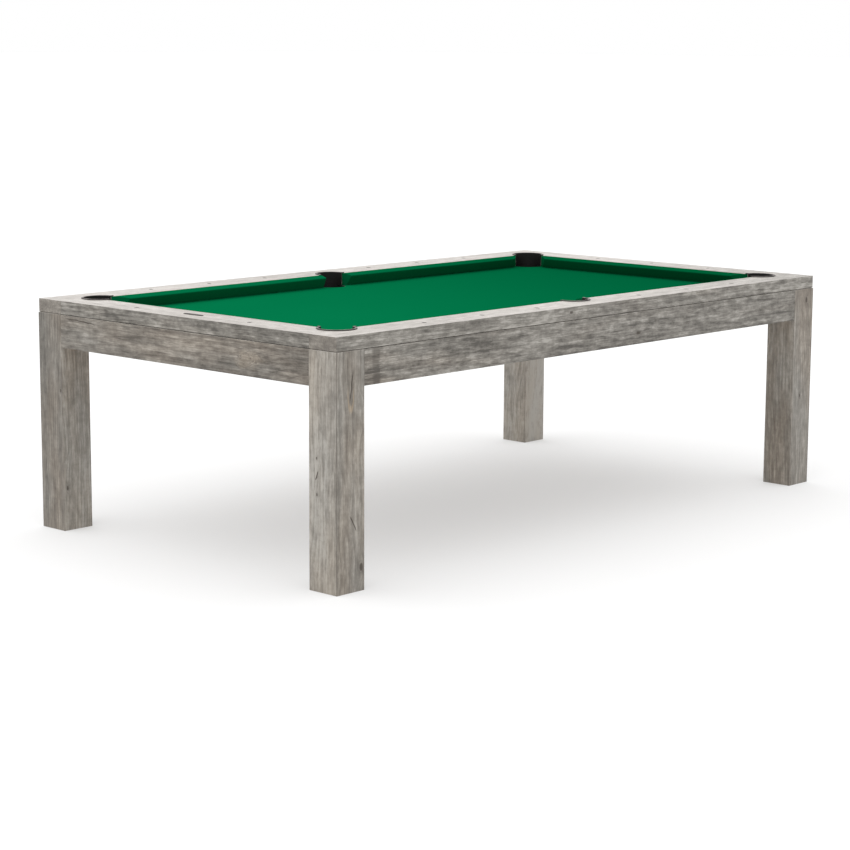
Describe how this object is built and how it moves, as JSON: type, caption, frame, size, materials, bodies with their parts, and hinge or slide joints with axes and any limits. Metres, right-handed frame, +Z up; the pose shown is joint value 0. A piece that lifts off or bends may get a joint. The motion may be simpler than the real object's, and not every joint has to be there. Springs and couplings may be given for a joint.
{
  "type": "pool table",
  "caption": "Rustic grey wood pool table with square legs, green cloth bed and cushions, drop pockets, slate on a timber frame and screw levellers.",
  "frame": {"origin": "on the floor under the middle of the table", "axes": "+X along the table away from the end with the plate, -Y the front long side, +Z up"},
  "size_m": [2.59, 1.473, 0.8138],
  "materials": {
    "grey_wood": "wire-brushed, grey-washed, matt",
    "frame_timber": "planed softwood, unfinished",
    "slate": "honed",
    "bed_cloth": "tight-napped woollen cloth",
    "cushion_cloth": "tight-napped woollen cloth over rubber",
    "pocket_rubber": "satin moulded",
    "pocket_plastic": "matt moulded",
    "zinc_steel": "bright zinc plate",
    "black_steel": "black powder coat",
    "pad_nylon": "matt moulded",
    "plate_metal": "dark bronze, blank"
  },
  "bodies": {
    "root": {"apron_back": "grey_wood", "apron_front": "grey_wood", "apron_left": "grey_wood", "apron_right": "grey_wood", "bed_cloth": "bed_cloth", "centre_beam": "frame_timber", "cross_beam_joint_left": "frame_timber", "cross_beam_joint_right": "frame_timber", "cross_beam_outer_left": "frame_timber", "cross_beam_outer_right": "frame_timber", "cushion_back_left": "cushion_cloth", "cushion_back_right": "cushion_cloth", "cushion_front_left": "cushion_cloth", "cushion_front_right": "cushion_cloth", "cushion_left": "cushion_cloth", "cushion_right": "cushion_cloth", "leg_back_left": "grey_wood", "leg_back_right": "grey_wood", "leg_bracket_back_left": "black_steel", "leg_bracket_back_right": "black_steel", "leg_bracket_front_left": "black_steel", "leg_bracket_front_right": "black_steel", "leg_front_left": "grey_wood", "leg_front_right": "grey_wood", "leveller_insert_back_left": "zinc_steel", "leveller_insert_back_right": "zinc_steel", "leveller_insert_front_left": "zinc_steel", "leveller_insert_front_right": "zinc_steel", "name_plate": "plate_metal", "pocket_bucket_back_left": "pocket_plastic", "pocket_bucket_back_right": "pocket_plastic", "pocket_bucket_back_side": "pocket_plastic", "pocket_bucket_front_left": "pocket_plastic", "pocket_bucket_front_right": "pocket_plastic", "pocket_bucket_front_side": "pocket_plastic", "pocket_liner_back_left": "pocket_rubber", "pocket_liner_back_right": "pocket_rubber", "pocket_liner_back_side": "pocket_rubber", "pocket_liner_front_left": "pocket_rubber", "pocket_liner_front_right": "pocket_rubber", "pocket_liner_front_side": "pocket_rubber", "rail_back": "grey_wood", "rail_front": "grey_wood", "rail_left": "grey_wood", "rail_right": "grey_wood", "ring_beam_back": "frame_timber", "ring_beam_front": "frame_timber", "ring_beam_left": "frame_timber", "ring_beam_right": "frame_timber", "slate_left": "slate", "slate_middle": "slate", "slate_right": "slate"},
    "pad_front_left": {"leveller_pad_front_left": "pad_nylon"},
    "stud_front_left": {"leveller_stud_front_left": "zinc_steel"},
    "pad_front_right": {"leveller_pad_front_right": "pad_nylon"},
    "stud_front_right": {"leveller_stud_front_right": "zinc_steel"},
    "pad_back_right": {"leveller_pad_back_right": "pad_nylon"},
    "stud_back_right": {"leveller_stud_back_right": "zinc_steel"},
    "pad_back_left": {"leveller_pad_back_left": "pad_nylon"},
    "stud_back_left": {"leveller_stud_back_left": "zinc_steel"}
  },
  "joints": [
    {"name": "level_front_left", "type": "slide", "parent": "root", "child": "pad_front_left", "axis": [0, 0, -1], "range_m": [0, 0.02]},
    {"name": "turn_front_left", "type": "hinge", "parent": "pad_front_left", "child": "stud_front_left", "pos_m": [-1.234, -0.6755, 0.04], "axis": [0, 0, -1], "range_deg": [0, 4810]},
    {"name": "level_front_right", "type": "slide", "parent": "root", "child": "pad_front_right", "axis": [0, 0, -1], "range_m": [0, 0.02]},
    {"name": "turn_front_right", "type": "hinge", "parent": "pad_front_right", "child": "stud_front_right", "pos_m": [1.234, -0.6755, 0.04], "axis": [0, 0, -1], "range_deg": [0, 4810]},
    {"name": "level_back_right", "type": "slide", "parent": "root", "child": "pad_back_right", "axis": [0, 0, -1], "range_m": [0, 0.02]},
    {"name": "turn_back_right", "type": "hinge", "parent": "pad_back_right", "child": "stud_back_right", "pos_m": [1.234, 0.6755, 0.04], "axis": [0, 0, -1], "range_deg": [0, 4810]},
    {"name": "level_back_left", "type": "slide", "parent": "root", "child": "pad_back_left", "axis": [0, 0, -1], "range_m": [0, 0.02]},
    {"name": "turn_back_left", "type": "hinge", "parent": "pad_back_left", "child": "stud_back_left", "pos_m": [-1.234, 0.6755, 0.04], "axis": [0, 0, -1], "range_deg": [0, 4810]}
  ],
  "couplings": [
    {"joint": "turn_front_left", "follows": "level_front_left", "rad_per_m": 4188.8},
    {"joint": "turn_front_right", "follows": "level_front_right", "rad_per_m": 4188.8},
    {"joint": "turn_back_right", "follows": "level_back_right", "rad_per_m": 4188.8},
    {"joint": "turn_back_left", "follows": "level_back_left", "rad_per_m": 4188.8}
  ]
}
